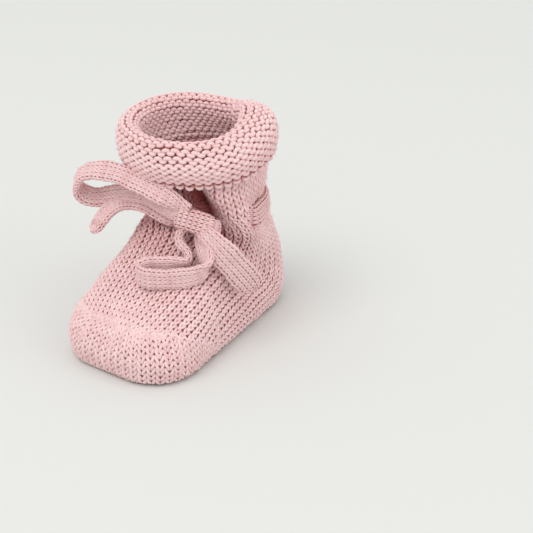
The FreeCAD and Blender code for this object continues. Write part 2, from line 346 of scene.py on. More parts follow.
def foot_sheet():
    """The foot in rings that fan about the ankle and go on square to the foot."""
    tilts = np.radians(np.linspace(0.0, 90.0, 46))
    rings = [section(body, 0.0, (0.0, JOIN + above)) for above in range(OVERLAP, 0, -1)]
    rings += [section(body, tilt, ANKLE) for tilt in tilts]
    rings += [section(body, math.pi / 2, (y, 0.0)) for y in np.arange(*TOEWARDS)]
    return Sheet(np.array(rings), outward=-1.0)


foot = foot_sheet()


LEG_ROWS = 130      # rows of points up the leg and down the cuff
# The cuff's uneven top: how far it rises, at which angle and how wide, mm and degrees.
CUFF_RISES = ((-3.4, 20.0, 50.0), (2.6, 112.0, 42.0), (1.0, 216.0, 50.0))


def leg_sheet():
    """The leg, turned over at the top into the cuff, as one smooth sheet."""
    lower = np.array([section(body, 0.0, (0.0, z)) for z in np.arange(JOIN - OVERLAP, 62.1, 1.0)])
    turned = through([oval_ring(*level) for level in TURN], 6)
    whole = np.concatenate([lower, turned])
    result = np.stack([spaced(whole[:, i], LEG_ROWS, closed=False) for i in range(RING)], 1)
    for _ in range(10):     # softens the join between the two
        result[1:-1] = (result[:-2] + 2 * result[1:-1] + result[2:]) / 4
    angle, z = around_leg(result), result[..., 2]
    rise = sum(height * bump(angle, centre, width) for height, centre, width in CUFF_RISES)
    result[..., 2] += rise * smooth(60.0, 73.0, z)
    result[..., 2] += 0.7 * np.sin(np.radians(angle) * 3 + 0.6) * smooth(64.0, 74.0, z)
    outside = smooth(80.0, LEG_ROWS - 1.0, np.arange(LEG_ROWS))[:, None]
    result[..., 2] += 6.0 * bump(angle, 118.0, 42.0) * outside      # the hem rises at one side
    return Sheet(result)


leg = leg_sheet()


# ---- meshes of yarn
def cells(count):
    """Every face in a small cell of its own in the uv square."""
    side = int(math.ceil(math.sqrt(count)))
    number = np.arange(count)
    corner = np.stack([number % side, number // side], -1)[:, None]
    cell = np.array([[0.1, 0.1], [0.9, 0.1], [0.9, 0.9], [0.1, 0.9]])
    return (corner + cell) / side


def set_uv(data, name, uv):
    """A named uv map, with a place for every corner of every face."""
    layer = data.uv_layers.new(name=name)
    layer.data.foreach_set("uv", uv.astype(np.float32).ravel())


def set_values(data, name, domain, values):
    """A named attribute for the materials to read."""
    layer = data.attributes.new(name, "FLOAT", domain)
    layer.data.foreach_set("value", values.astype(np.float32))


def quad_piece(name, points, quads, materials, nodes=(), uv=None):
    """A smooth piece made of quads, riding on the body; points are in metres."""
    data = bpy.data.meshes.new(name)
    data.vertices.add(len(points))
    data.vertices.foreach_set("co", points.astype(np.float32).ravel())
    data.loops.add(len(quads) * 4)
    data.loops.foreach_set("vertex_index", quads.astype(np.int32).ravel())
    data.polygons.add(len(quads))
    data.polygons.foreach_set("loop_start", np.arange(0, len(quads) * 4, 4, dtype=np.int32))
    data.update(calc_edges=True)
    data.polygons.foreach_set("use_smooth", np.ones(len(quads), dtype=bool))
    if uv is not None:
        set_uv(data, "yarn", uv)
    set_uv(data, "OFBake", cells(len(quads)))
    for material in materials:
        data.materials.append(material)
    thing = new_object(name, data)
    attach(thing, "root")
    if nodes:
        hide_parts(*nodes)
    return thing


def tube_skin(paths, normals, radius, turn, closed):
    """Rings of points round each path, [k, n, sides, 3]."""
    if closed:
        tangent = unit(np.roll(paths, -1, 1) - np.roll(paths, 1, 1))
    else:
        tangent = unit(np.gradient(paths, axis=1))
    across = unit(np.cross(tangent, normals))
    out = np.cross(across, tangent)
    return (paths[:, :, None] + radius[..., None, None] * (np.cos(turn)[:, None] * across[:, :, None]
                                                           + np.sin(turn)[:, None] * out[:, :, None]))


def tube_uv(paths, last, sides):
    """Each face's corners: once round the yarn in u, and along it in mm in v."""
    shape = (len(paths), last, sides)
    along = lengths(paths)
    along = np.c_[along, along[:, -1:] + 0.2]
    v0 = np.broadcast_to(along[:, :last, None], shape)
    v1 = np.broadcast_to(along[:, 1:last + 1, None], shape)
    u0 = np.broadcast_to(np.arange(sides) / sides, shape)
    u1 = u0 + 1.0 / sides
    corners = [np.stack(corner, -1) for corner in ((u0, v0), (u1, v0), (u1, v1), (u0, v1))]
    return np.stack(corners, -2).reshape(-1, 4, 2)


# Painted shade: below this daylight the yarn is painted deep red.
GLOOM_BELOW = 0.40      # daylight under which the yarn turns deep red
KNIT_SIDES = 8          # sides of the knit's yarn; the finer yarns have fewer


def bands(a, b):
    """Quads between rings of vertex numbers a and the rings b next to them."""
    return np.stack([a, np.roll(a, -1, -1), np.roll(b, -1, -1), b], -1).reshape(-1, 4)


class Yarn:
    """Collects lengths of yarn and makes them into one mesh."""

    def __init__(self):
        self.points, self.faces, self.uvs, self.shades, self.slots = [], [], [], [], []
        self.crests, self.glooms = [], []
        self.count = 0

    def add_points(self, skin, crest_light, gloom):
        """New vertices with their crest and gloom; returns their numbers."""
        index = self.count + np.arange(crest_light.size).reshape(skin.shape[:-1])
        self.points.append(skin.reshape(-1, 3))
        self.crests.append(crest_light.ravel())
        self.glooms.append(gloom.ravel())
        self.count += crest_light.size
        return index

    def add_quads(self, quads, uv, shade, slot=0):
        """Faces with their uv and shade; slot 1 is the dark backing of painted shade."""
        self.faces.append(quads)
        self.uvs.append(uv)
        self.shades.append(shade)
        self.slots.append(np.full(len(quads), slot))

    def add(self, paths, normals, radius, lift, sides=6, closed=False, shade=None, lit=1.0):
        """Yarn along paths [k, n, 3]. radius, lift (the height over the middle of
        the fabric) and lit (the daylight painted into the colour there) are numbers or [k, n]."""
        k, n = paths.shape[:2]
        radius, lift, lit = (np.broadcast_to(value, (k, n)) for value in (radius, lift, lit))
        turn = np.linspace(0, math.tau, sides, endpoint=False)
        skin = tube_skin(paths, normals, radius, turn, closed)
        height = lift[..., None] + radius[..., None] * np.sin(turn)
        # Painted shade: each point's height over the fabric's middle, times lit, sets how light the
        # material paints it, so low points between crests are painted darker and redder.
        top = np.abs(lift).max() + radius.mean()
        gloom = np.clip((GLOOM_BELOW - lit) / 0.3, 0.0, 1.0)
        index = self.add_points(skin, np.abs(height) / top * lit[..., None],
                                np.repeat(gloom, sides))
        last = n if closed else n - 1
        quads = bands(index[:, :last], index[:, (np.arange(last) + 1) % n])
        if shade is None:
            shade = rng.uniform(0, 1, k)
        self.add_quads(quads, tube_uv(paths, last, sides),
                       np.repeat(np.broadcast_to(shade, (k,)), last * sides))
        if not closed:
            self.cap(index[:, 0, ::-1])
            self.cap(index[:, -1])

    def cap(self, rims, slot=0):
        """Closes an open end with quads between opposite sides of its rim."""
        sides = rims.shape[1]
        for step in range(sides // 2 - 1):
            quads = np.stack([rims[:, step], rims[:, step + 1], rims[:, sides - 2 - step],
                              rims[:, sides - 1 - step]], -1)
            self.add_quads(quads, np.zeros((len(quads), 4, 2)), np.full(len(quads), 0.5), slot)

    def core(self, grid):
        """A closed body of the dark backing, painted shade, inside a strap; grid is [n, ring, 3]."""
        index = self.add_points(grid, np.zeros(grid.shape[:2]), np.zeros(grid.shape[:2]))
        quads = bands(index[:-1], index[1:])
        self.add_quads(quads, np.zeros((len(quads), 4, 2)), np.full(len(quads), 0.5), slot=1)
        self.cap(index[:1, ::-1], slot=1)
        self.cap(index[-1:], slot=1)

    def fuzz(self, paths, normals, radius, share):
        """Short loose fibres that stand off the yarn; share is how many for each point."""
        count = int(share * paths.shape[0] * paths.shape[1])
        path, place = rng.integers(0, paths.shape[0], count), rng.integers(0, paths.shape[1], count)
        out = normals[path, place]
        drift = rng.normal(size=(count, 3))
        drift = unit(drift - out * np.sum(drift * out, -1, keepdims=True))
        rise, reach = rng.uniform(0.2, 0.9, (count, 1, 1)), rng.uniform(0.5, 1.5, (count, 1, 1))
        t = np.linspace(0.0, 1.0, 4)[None, :, None]
        start = (paths[path, place] + out * radius * 0.8)[:, None]
        lines = start + out[:, None] * rise * np.sin(t * 2.2) + drift[:, None] * reach * t
        self.add(lines, np.repeat(out[:, None], 4, 1), 0.04, 1.0, sides=4, shade=0.9)

    def mesh(self, name, material, nodes, slot, painted_shade_strength=1.0):
        """The yarn as one piece. Its last argument is how strongly painted shade darkens it between
        crests.
        """
        points = np.vstack(self.points) * MM
        points[:, 2] = np.maximum(points[:, 2], 0.0)      # pressed flat where it rests
        slots = np.concatenate(self.slots)
        materials = (material, shade_backing) if slots.any() else (material,)
        thing = quad_piece(name, points, np.vstack(self.faces), materials, nodes,
                           np.vstack(self.uvs))
        crest_light = np.clip(1.0 - (1.0 - np.concatenate(self.crests)) * painted_shade_strength, 0.0, 1.0)
        set_values(thing.data, "shade", "FACE", np.concatenate(self.shades))
        set_values(thing.data, "crest_light", "POINT", crest_light)
        set_values(thing.data, "gloom", "POINT", np.concatenate(self.glooms))
        thing.data.polygons.foreach_set("material_index", slots.astype(np.int32))
        return thing


# ---- painted daylight and shade
def gathered(points):
    """How far the tie bunches the knit together at each point, 0 to 1."""
    return bump(around_leg(points), -30.0, 48.0) * window(26.0, 38.0, 50.0, 58.0, points[..., 2])


def painted_daylight(points):
    """How much daylight is painted into the knit's colour: little in the hollow beside the knot
    and in the gathers, and somewhat less inside the leg, so that the yarn there is painted the redder
    colour of shade."""
    z = points[..., 2]
    hollow = np.exp(-((past_hollow(points) + 5.5) / 9.5) ** 2) * window(26.0, 38.0, 60.0, 66.0, z)
    inside = (from_axis(points) < 19.0) * (1 - smooth(56.0, 70.0, z))
    return (1 - 0.85 * hollow) * (1 - 0.55 * gathered(points)) * (1 - 0.3 * inside)


def band_painted_daylight(points):
    """The same painted daylight for the tie round the ankle, which lies higher and is
    painted pale except where it crosses the hollow."""
    pale = 0.62 * (1.0 - bump(around_leg(points), 48.0, 22.0))
    return np.maximum(painted_daylight(points), pale)


# ---- stitches
STITCH_POINTS = 14      # points along one stitch of a column
FILL = 0.86             # half the height of a loop, of the height of a row
OVERRUN = 0.25          # how far a stitch runs on under its neighbours, of 2 pi


def loop_shape(height, depth, lean, closer):
    """One stockinette stitch: across it as a part of its width, and along and
    out of the fabric in mm."""
    t = np.linspace(-OVERRUN, math.tau + OVERRUN, STITCH_POINTS)
    across = t / math.tau + lean * np.sin(2 * t) + closer * np.sin(t)
    return across, -np.cos(t) * height, -np.cos(2 * t) * depth


def wale_stitches(sheet, place, row, depth, radius, first_ring=0, fill=FILL, lean=0.26,
                  closer=0.0, uneven=1.0):
    """Stitches in columns that each keep their own even row height. place(i, q)
    gives column i's middle and place.spacing(i, q) its width, both as parts of the
    ring. Returns the yarn's paths, normals, radii, lifts and middles, one row of
    each for every stitch."""
    q = np.linspace(0, sheet.grid.shape[0] - 1.01, sheet.grid.shape[0] * 3)
    columns = []
    for i in range(place.total):
        along = lengths(sheet.at(place(i, q), q)[0])
        begin = np.interp(first_ring, q, along)
        count = max(2, int(round((along[-1] - begin) / row)))
        pitch = (along[-1] - begin) / count
        middle = begin + (np.arange(count) + 0.5) * pitch
        middle = middle + rng.normal(0, 0.035 * uneven, count) * row
        across, up, out = loop_shape(fill * pitch, depth, lean, closer)
        qs = np.interp(middle[:, None] - up[None], along, q)
        middle_q = np.interp(middle, along, q)
        centre = sheet.at(place(i, middle_q), middle_q)[0]
        bunch = gathered(centre)[:, None]
        scale = 1.0 + rng.normal(0, 0.03 * uneven, (count, 1)) - 0.04 * bunch
        ps = place(i, qs) + (across[None] - 0.5) * place.spacing(i, qs) * scale
        point, normal = sheet.at(ps, qs)
        lift = out[None] * (1.0 + rng.normal(0, 0.05 * uneven, (count, 1)) + 0.5 * bunch)
        path = point + normal * lift[..., None]
        quarter = STITCH_POINTS // 4
        wide = np.linalg.norm(path[:, quarter] - path[:, 3 * STITCH_POINTS // 4], axis=-1)
        size = np.clip(radius * wide / (0.5 * place.width), radius * 0.65, radius * 1.35)
        columns.append((path, normal, np.repeat(size[:, None], STITCH_POINTS, 1), lift, centre))
    return [np.concatenate(part) for part in zip(*columns)]


def course_stitches(sheet, wales, start, stop, row, depth, samples, lean, closer, wobble,
                    cuff=None):
    """Whole rings of stitches between two distances along the sheet, as closed
    paths: paths, normals, lifts and the height of a row. Past the distance cuff
    the loops stand out further."""
    mean = sheet.distances()
    total = mean[-1] if stop is None else stop
    count = int(round((total - start) / row))
    pitch = (total - start) / count
    t = np.linspace(0, math.tau * wales, wales * samples, endpoint=False)
    stitch = (t / math.tau).astype(int)
    rows = []
    for j in range(count):
        middle = start + (j + 0.5) * pitch
        tall = 1.0 + rng.normal(0, wobble, wales)
        proud = 1.0 + rng.normal(0, wobble, wales)
        shift = rng.normal(0, wobble * 0.5, wales)
        p = (t / math.tau + lean * np.sin(2 * t) + closer * np.sin(t)
             + shift[stitch] * np.sin(t / 2) ** 2) / wales
        deep, high = (1.3 * depth, 0.88 * FILL) if cuff and middle > cuff else (depth, FILL)
        s = middle - np.cos(t) * high * pitch * tall[stitch]
        point, normal = sheet.at(p, np.interp(s, mean, np.arange(len(mean))))
        lift = -np.cos(2 * t) * deep * proud[stitch]
        rows.append((point + normal * lift[:, None], normal, lift))
    paths, normals, lifts = (np.array(part) for part in zip(*rows))
    return paths, normals, lifts, pitch


LEG_WALES = 46      # columns of stitches round the leg


class Columns:
    """Where each column of the foot runs: its middle and width at every ring.
    The first sector has columns at the leg's own rate, so that they meet."""

    width = 2.75    # of a column at rest, in mm

    def __init__(self, total, sector, sector_rate, crowd, rings):
        self.total, self.rings = total, rings
        p = np.linspace(0, 1, 2001)
        # the rest crowd together just before they come round to the front again
        crowded = (p >= sector) * (1 + 0.8 * np.exp(-((p - 0.92) / 0.07) ** 2))
        rest = crowded * (total - sector * sector_rate) / crowded.mean()
        rate = np.where(p < sector, sector_rate, rest)
        wide = total * (1 + crowd * np.cos(math.tau * p))
        self.top, self.end = (np.r_[0, np.cumsum((dense[1:] + dense[:-1]) / 2 * np.diff(p))]
                              for dense in (rate, wide))
        self.p = p

    def edge(self, i, q):
        """Where column i begins: it moves from its place at the ankle to that at the toe."""
        part = smooth(0.0, self.rings * 0.5, q)
        a, b = np.interp(i, self.top, self.p), np.interp(i, self.end, self.p)
        return a * (1 - part) + b * part

    def __call__(self, i, q):
        """The middle of column i."""
        return (self.edge(i, q) + self.edge(i + 1, q)) / 2

    def spacing(self, i, q):
        """The width of column i, as a part of the ring."""
        return self.edge(i + 1, q) - self.edge(i, q)


class Even:
    """Columns of equal width across a span in mm."""

    def __init__(self, total, span):
        self.total, self.width = total, span / total

    def __call__(self, i, q):
        return np.full_like(q, (i + 0.5) / self.total)

    def spacing(self, i, q):
        return np.full_like(q, 1.0 / self.total)


# ---- the toe's own patch
TOE = np.array([0.0, -20.0])       # the toe's columns fan about this point
# The shaping line above the toe: its height at angles round the toe, either way.
TOE_LINE = ((0, 17.2), (40, 17.0), (60, 16.6), (72, 14.8), (86, 10.8), (99, 6.0), (108, 0.0))
TOE_ROWS, TOE_COLUMNS = 60, 200     # points down and along the toe's sheet
ABOVE_TOE = 34                      # rows of the body too high for it


def toe_angle(points):
    """Angle of each point round the toe, from -Y towards +X, in degrees."""
    return np.degrees(np.arctan2(points[..., 0] - TOE[0], -(points[..., 1] - TOE[1])))


def toe_reach(points):
    """Distance of each point from the middle of the toe, seen from above."""
    return np.hypot(points[..., 0] - TOE[0], points[..., 1] - TOE[1])


def toe_line(angle):
    """Height of the shaping line at an angle round the toe."""
    return np.interp(np.abs(angle), *np.array(TOE_LINE).T)


def toe_sheet():
    """Rows from high on the toe, down its wall and in under the sole; and how long
    the wall is."""
    angles = np.linspace(-107.0, 107.0, 260)
    rows = []
    for ring in body[:-ABOVE_TOE][::-1]:
        turn = toe_angle(ring)
        order = np.argsort(turn)
        rows.append(read_at(angles, turn[order], ring[order]))
    grid = np.array(rows)
    # start each column at the shaping line, and stop it in under the sole
    result = np.empty((TOE_ROWS, len(angles), 3))
    for i, angle in enumerate(angles):
        line = grid[:, i]
        above = (line[:, 2] > toe_line(angle)).any()
        start = np.argmax(line[:, 2] < toe_line(angle) + 0.01) if above else 0
        first = line[max(start - 1, 0)]
        run = line[start:]
        away = lengths(run)
        floor = np.argmax(run[:, 2] < 1.6)
        reach = away[floor] + 9.0 * (1 - smooth(70, 107, abs(angle))) + 1.0
        result[:, i] = spaced(np.vstack([first, run[away <= reach]]), TOE_ROWS, closed=False)
    # even spacing along the wall
    along = lengths(result[TOE_ROWS // 2])
    at = np.linspace(0, along[-1], TOE_COLUMNS)
    even = np.array([read_at(at, along, row) for row in result])
    return Sheet(even, closed=False, outward=-1.0), along[-1]


RIM = int(np.argmax(body[:, 0, 2] > 2.2))      # the body's row at the sole's edge


def on_foot(points):
    """True where the foot's own columns show: above the shaping line, and under
    the sole away from the toe's edge."""
    angle = toe_angle(points)
    high = points[..., 2] > toe_line(angle) - 0.8
    edge_angle = toe_angle(body[RIM])
    order = np.argsort(edge_angle)
    rim = np.interp(angle, edge_angle[order], toe_reach(body[RIM])[order])
    under = rim - 8.0 * (1 - smooth(70, 107, np.abs(angle))) - 0.5
    inside = (points[..., 2] < 1.9) & (toe_reach(points) < under)
    return high | inside | (np.abs(angle) > 106.5)


# ---- materials
def feed(tree, socket, value):
    """Sets a socket to a number or colour, or links it to the socket it comes from."""
    if isinstance(value, bpy.types.NodeSocket):
        tree.links.new(value, socket)
    else:
        socket.default_value = value


def node(tree, kind, **values):
    """A node with its properties set and its inputs fed."""
    thing = tree.nodes.new(kind)
    for name, value in values.items():
        if hasattr(thing, name):
            setattr(thing, name, value)
        else:
            feed(tree, thing.inputs[name.replace("_", " ")], value)
    return thing


def calculate(tree, operation, *values):
    """A Math node's result."""
    thing = node(tree, "ShaderNodeMath", operation=operation)
    for socket, value in zip(thing.inputs, values):
        feed(tree, socket, value)
    return thing.outputs[0]


def noise(tree, scale, detail):
    """Noise in the object's own coordinates, which are metres."""
    place = node(tree, "ShaderNodeTexCoord").outputs["Object"]
    return node(tree, "ShaderNodeTexNoise", Vector=place, Scale=scale, Detail=detail).outputs["Fac"]


def stored(tree, name):
    """A value stored on the mesh."""
    return node(tree, "ShaderNodeAttribute", attribute_name=name).outputs["Fac"]


def mixed(tree, share, first, second):
    """The first colour, with a share of the second."""
    thing = node(tree, "ShaderNodeMix", data_type="RGBA", Factor=share, A=first, B=second)
    return thing.outputs["Result"]


def ramp(tree, share, *stops):
    """A colour ramp through stops of (place, colour)."""
    thing = node(tree, "ShaderNodeValToRGB", Fac=share)
    elements = thing.color_ramp.elements
    elements[0].position, elements[1].position = stops[0][0], stops[-1][0]
    elements[0].color, elements[1].color = (*stops[0][1], 1), (*stops[-1][1], 1)
    for place, colour in stops[1:-1]:
        elements.new(place).color = (*colour, 1)
    return thing.outputs["Color"]


def principled(name, colour, **values):
    """A material with one shader; colour(tree) gives what feeds its colour."""
    material = bpy.data.materials.new(name)
    material.use_nodes = True
    tree = material.node_tree
    tree.nodes.clear()
    shader = node(tree, "ShaderNodeBsdfPrincipled", Base_Color=colour(tree), **values)
    node(tree, "ShaderNodeOutputMaterial", Surface=shader.outputs[0])
    return material, tree, shader


def yarn_colour(tree, dark, mid, light, crevice_shade):
    """Mottled pink on the crests, with painted shade: darker and redder between them, and deep red
    where little daylight is painted.
    """
    mottle = calculate(tree, "MULTIPLY_ADD", noise(tree, 55.0, 2.0), 0.5, noise(tree, 900.0, 3.0))
    mottle = calculate(tree, "MULTIPLY", mottle, 0.5)
    mottle = calculate(tree, "MULTIPLY_ADD", stored(tree, "shade"), 0.28, mottle)
    crest_colour = ramp(tree, mottle, (0.22, dark), (0.5, mid), (0.80, light))
    # Painted shade: darker and redder where the yarn lies low between the crests.
    height = node(tree, "ShaderNodeMapRange", interpolation_type="SMOOTHSTEP",
                  Value=stored(tree, "crest_light"), From_Min=0.05, From_Max=0.72)
    colour = mixed(tree, height.outputs["Result"], (*crevice_shade, 1), crest_colour)
    # Painted shade: deep red where little daylight is painted.
    return mixed(tree, stored(tree, "gloom"), colour, (0.50, 0.095, 0.09, 1))


def plies(tree):
    """Slanting ridges round the yarn, from the yarn's own coordinates, with fibres."""
    place = node(tree, "ShaderNodeUVMap", uv_map="yarn").outputs[0]
    parts = node(tree, "ShaderNodeSeparateXYZ", Vector=place).outputs
    turn = calculate(tree, "MULTIPLY", parts[0], 3.0)
    run = calculate(tree, "MULTIPLY_ADD", parts[1], 0.9, turn)
    ridge = calculate(tree, "SINE", calculate(tree, "MULTIPLY", run, math.tau))
    return calculate(tree, "MULTIPLY_ADD", ridge, 0.35, noise(tree, 2600.0, 2.0))


def yarn_material(name, tones, crevice_shade):
    """Soft spun cotton: mottled pink, fine plies and loose fibres in the bump."""
    material, tree, shader = principled(
        name, lambda tree: yarn_colour(tree, *tones, crevice_shade), Roughness=0.95,
        Specular_IOR_Level=0.15, Sheen_Weight=0.25, Sheen_Roughness=0.6,
        Sheen_Tint=(1.0, 0.86, 0.84, 1.0))
    relief = node(tree, "ShaderNodeBump", Height=plies(tree), Strength=0.35, Distance=0.00025)
    feed(tree, shader.inputs["Normal"], relief.outputs[0])
    return material


def shade_colour(tree):
    """Painted shade: deep pink with small uneven patches."""
    return ramp(tree, noise(tree, 700.0, 2.0), (0.0, (0.24, 0.06, 0.06)), (1.0, (0.40, 0.14, 0.13)))


PINK = ((0.79, 0.508, 0.512), (0.87, 0.614, 0.62), (0.93, 0.705, 0.712))
# The tie's yarn is a darker copy of the knit's pink: painted shade on the tie.
SHADED_TIE_PINK = [(0.96 * red, 0.935 * green, 0.935 * blue) for red, green, blue in PINK]
# The colours given last are painted shade, for the yarn between the crests.
knit_yarn = yarn_material("yarn_pink", PINK, crevice_shade=(0.50, 0.15, 0.14))
tie_yarn = yarn_material("yarn_tie", SHADED_TIE_PINK, crevice_shade=(0.48, 0.14, 0.13))
# What shows between the stitches: a dark sheet of painted shade, standing in for the shaded inside of
# the same knit.
shade_backing = principled("knit_shade", shade_colour, Roughness=1.0, Specular_IOR_Level=0.0)[0]


def backing_piece(name, grid):
    """A thin closed skin in the middle of the fabric, behind the stitches, in painted shade."""
    thin = 0.12
    rows, count = grid.shape[:2]
    normals = grid_normals(grid)
    points = np.concatenate([(grid + normals * thin).reshape(-1, 3),
                             (grid - normals * thin).reshape(-1, 3)]) * MM
    index = np.arange(rows * count).reshape(rows, count)
    quads = bands(index[:-1], index[1:])
    offset = rows * count
    faces = [quads, quads[:, ::-1] + offset]
    for edge, way in ((index[0], 1), (index[-1], -1)):
        after = np.roll(edge, -1)
        faces.append(np.stack([edge, edge + offset, after + offset, after], -1)[:, ::way])
    quad_piece(name, points, np.vstack(faces), (shade_backing,))


# ---- knit pieces
SOLE_TOP = 2.6      # height at which the sole's stitches give way to the walls', mm


def foot_parts(middles):
    """Which stitches of the foot stand for which CAD node."""
    x, y, z = middles.T
    toe_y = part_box("toe_cap")[1][1] / MM
    heel_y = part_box("heel_panel")[0][1] / MM
    side_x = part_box("instep_panel")[1][0] / MM
    side_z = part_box("instep_panel")[0][2] / MM
    wall = z >= SOLE_TOP
    parts = {
        "sole": ~wall,
        "heel_panel": wall & (y > heel_y),
        "toe_cap": wall & (y < toe_y),
        "instep_panel": wall & (y >= toe_y) & (y < 0) & (np.abs(x) < side_x) & (z > side_z),
    }
    rest = ~np.any(list(parts.values()), axis=0)
    parts["left_side_panel"] = rest & (x < 0)
    parts["right_side_panel"] = rest & (x >= 0)
    return parts


def knit_foot():
    """The foot's columns, from the ankle round the heel and out to the toe.
    Returns the yarn of the stitches that belong to the toe."""
    columns = Columns(total=50, sector=0.21, sector_rate=LEG_WALES, crowd=0.15,
                      rings=foot.grid.shape[0])
    *stitches, middles = wale_stitches(foot, columns, row=2.15, depth=0.56, radius=0.72,
                                       first_ring=OVERLAP, closer=0.052)
    shown = on_foot(middles)
    stitches = [part[shown] for part in stitches]
    parts = foot_parts(middles[shown])
    toe = parts.pop("toe_cap")
    for name, chosen in parts.items():
        paths, normals, sizes, lifts = (part[chosen] for part in stitches)
        yarn = Yarn()
        yarn.add(paths, normals, sizes, lifts, KNIT_SIDES, lit=painted_daylight(paths))
        yarn.fuzz(paths, normals, 0.7, 0.05)
        yarn.mesh(f"knit_{name}", knit_yarn, (name,), "knit", 0.88)
    return [part[toe] for part in stitches]


def knit_toe(from_foot):
    """The toe's larger, looser stitches, and the foot's columns that reach it."""
    sheet, span = toe_sheet()
    columns = Even(int(round(span / 3.15)), span)
    paths, normals, sizes, lifts, _ = wale_stitches(
        sheet, columns, row=2.1, depth=0.48, radius=0.80, fill=0.84, lean=0.28, uneven=1.6)
    yarn = Yarn()
    yarn.add(paths, normals, sizes, lifts, sides=KNIT_SIDES)
    yarn.add(*from_foot, sides=KNIT_SIDES)
    yarn.fuzz(paths, normals, 0.8, 0.06)
    yarn.mesh("knit_toe_cap", knit_yarn, ("toe_cap",), "knit", 0.65)


def leg_course():
    """Distances along the leg's sheet, row by row, and those of the join with
    the foot and of the top of the fold."""
    along = leg.distances()
    height = leg.grid[:, :, 2].mean(1)
    top = np.argmax(height)
    return along, np.interp(JOIN, height[:top], along[:top]), along[top]


HEM = 2.4           # from the last row of stitches to the sheet's edge, mm
PURL_BEFORE = 15.0  # the purl side's larger loops start this far before the fold's top, mm


def knit_leg():
    """The leg and the turned-down cuff in whole rings of stitches."""
    along, start, turn = leg_course()
    purl = turn - PURL_BEFORE
    paths, normals, lifts, pitch = course_stitches(
        leg, LEG_WALES, start, along[-1] - HEM, row=2.3, depth=0.56, samples=18, lean=0.23,
        closer=0.04, wobble=0.055, cuff=purl)
    heights = paths[..., 2].mean(1)
    rows = start + (np.arange(len(paths)) + 0.5) * pitch
    fold = heights >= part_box("cuff_fold")[0][2] / MM
    inner = ~fold & (rows < turn)
    outer = ~fold & (rows >= turn)
    radius = np.where(rows < purl, 0.68, 0.80)[:, None]
    # Painted daylight and shade for the leg; the cuff's pieces are painted fully lit.
    lit = painted_daylight(paths[inner])
    # The last number is how strongly painted shade darkens each piece between its crests.
    for name, chosen, cad_node, slot, light, outside, painted_shade_strength in (
            ("knit_leg", inner, "leg_tube", "knit", lit, 1.0, 1.1),
            ("knit_cuff_fold", fold, "cuff_fold", "cuff_knit", 1.0, -1.0, 1.25),
            ("knit_cuff_turnover", outer, "cuff_turnover", "cuff_knit", 1.0, -1.0, 1.25)):
        yarn = Yarn()
        yarn.add(paths[chosen], normals[chosen], radius[chosen], lifts[chosen], sides=KNIT_SIDES,
                 closed=True, lit=light)
        yarn.fuzz(paths[chosen], normals[chosen] * outside, 0.8, 0.05)
        yarn.mesh(name, knit_yarn, (cad_node,), slot, painted_shade_strength)


def sewn_seam():
    """The seam at the side of the back: a slanting overcast stitch in every row,
    outside on the leg and, past the fold, outside on the cuff."""
    along, start, turn = leg_course()
    change = turn - 12.0
    low, high = (np.array(corner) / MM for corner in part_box("leg_seam"))
    angle = around_leg((low + high) / 2)
    at = np.argmin(np.abs(turned(around_leg(leg.grid[20]), angle))) / RING
    t = np.linspace(0.0, 1.0, 9)
    for name, first, last, outside, cad_node in (
            ("seam_leg", start, change, 1.0, "leg_seam"),
            ("seam_cuff", change, along[-1] - HEM, -1.0, "cuff_seam")):
        rows = np.arange(first, last, 1.75)[:, None]
        p = at + (t - 0.5)[None] * 0.024 + rng.normal(0, 0.0012, (len(rows), 1))
        s = rows + (t - 0.5)[None] * 1.9 + rng.normal(0, 0.15, (len(rows), 1))
        point, normal = leg.at(p, np.interp(s, along, np.arange(len(along))))
        normal = normal * outside
        paths = point + normal * (0.35 + 1.15 * np.sin(math.pi * t))[None, :, None]
        yarn = Yarn()
        yarn.add(paths, normal, 0.62, 1.0)
        yarn.fuzz(paths, normal, 0.6, 0.05)
        yarn.mesh(name, knit_yarn, (cad_node,), "seam")


# ---- the tie
KNOT = np.array([12.0, -6.8, 46.4])
# Routes of the tie: out of the knot, round the loop, back through the knot and
# out again as a tail. They follow the design's routes, with points moved and added,
# each less than two of the tie's widths away. The WIDTH lists give the way
# that the flat tie's width points, evenly along each route.
UPPER = [
    (11.7, -9.6, 52.0), (3.0, -12.2, 55.8), (-6.6, -13.8, 58.8), (-16.0, -15.0, 61.0),
    (-23.7, -17.0, 60.9), (-29.6, -19.4, 59.4), (-33.4, -19.6, 52.6), (-29.4, -16.0, 48.2),
    (-23.6, -12.6, 49.4), (-15.4, -10.4, 52.2), (-6.4, -9.8, 52.6), (1.4, -11.2, 51.2),
    (8.1, -10.6, 48.6), (12.0, -8.6, 47.2), (15.6, -9.2, 45.4), (20.4, -9.4, 43.2),
    (24.4, -8.0, 38.5), (27.0, -4.6, 32.6), (28.8, -0.4, 26.4), (29.8, 3.0, 21.4),
]
UPPER_WIDTH = [
    (0, -0.5, 0.8), (-0.2, 0.3, 0.9), (-0.4, 0.56, 0.73), (-0.4, 0.56, 0.73),
    (-0.4, 0.56, 0.73), (-0.4, 0.6, 0.7), (-0.4, 0.7, 0.4), (-0.4, 0.6, 0.6),
    (-0.4, 0.56, 0.73), (-0.3, 0.5, 0.8), (-0.2, 0.3, 0.9), (0, 0, 1),
    (0, 0, 1), (0.2, -0.1, 1), (0.5, 0.4, 0.8), (0.6, 0.5, 0.6),
    (0.65, 0.5, 0.45), (0.55, 0.7, 0.4), (0.5, 0.75, 0.45), (0.5, 0.75, 0.45),
]
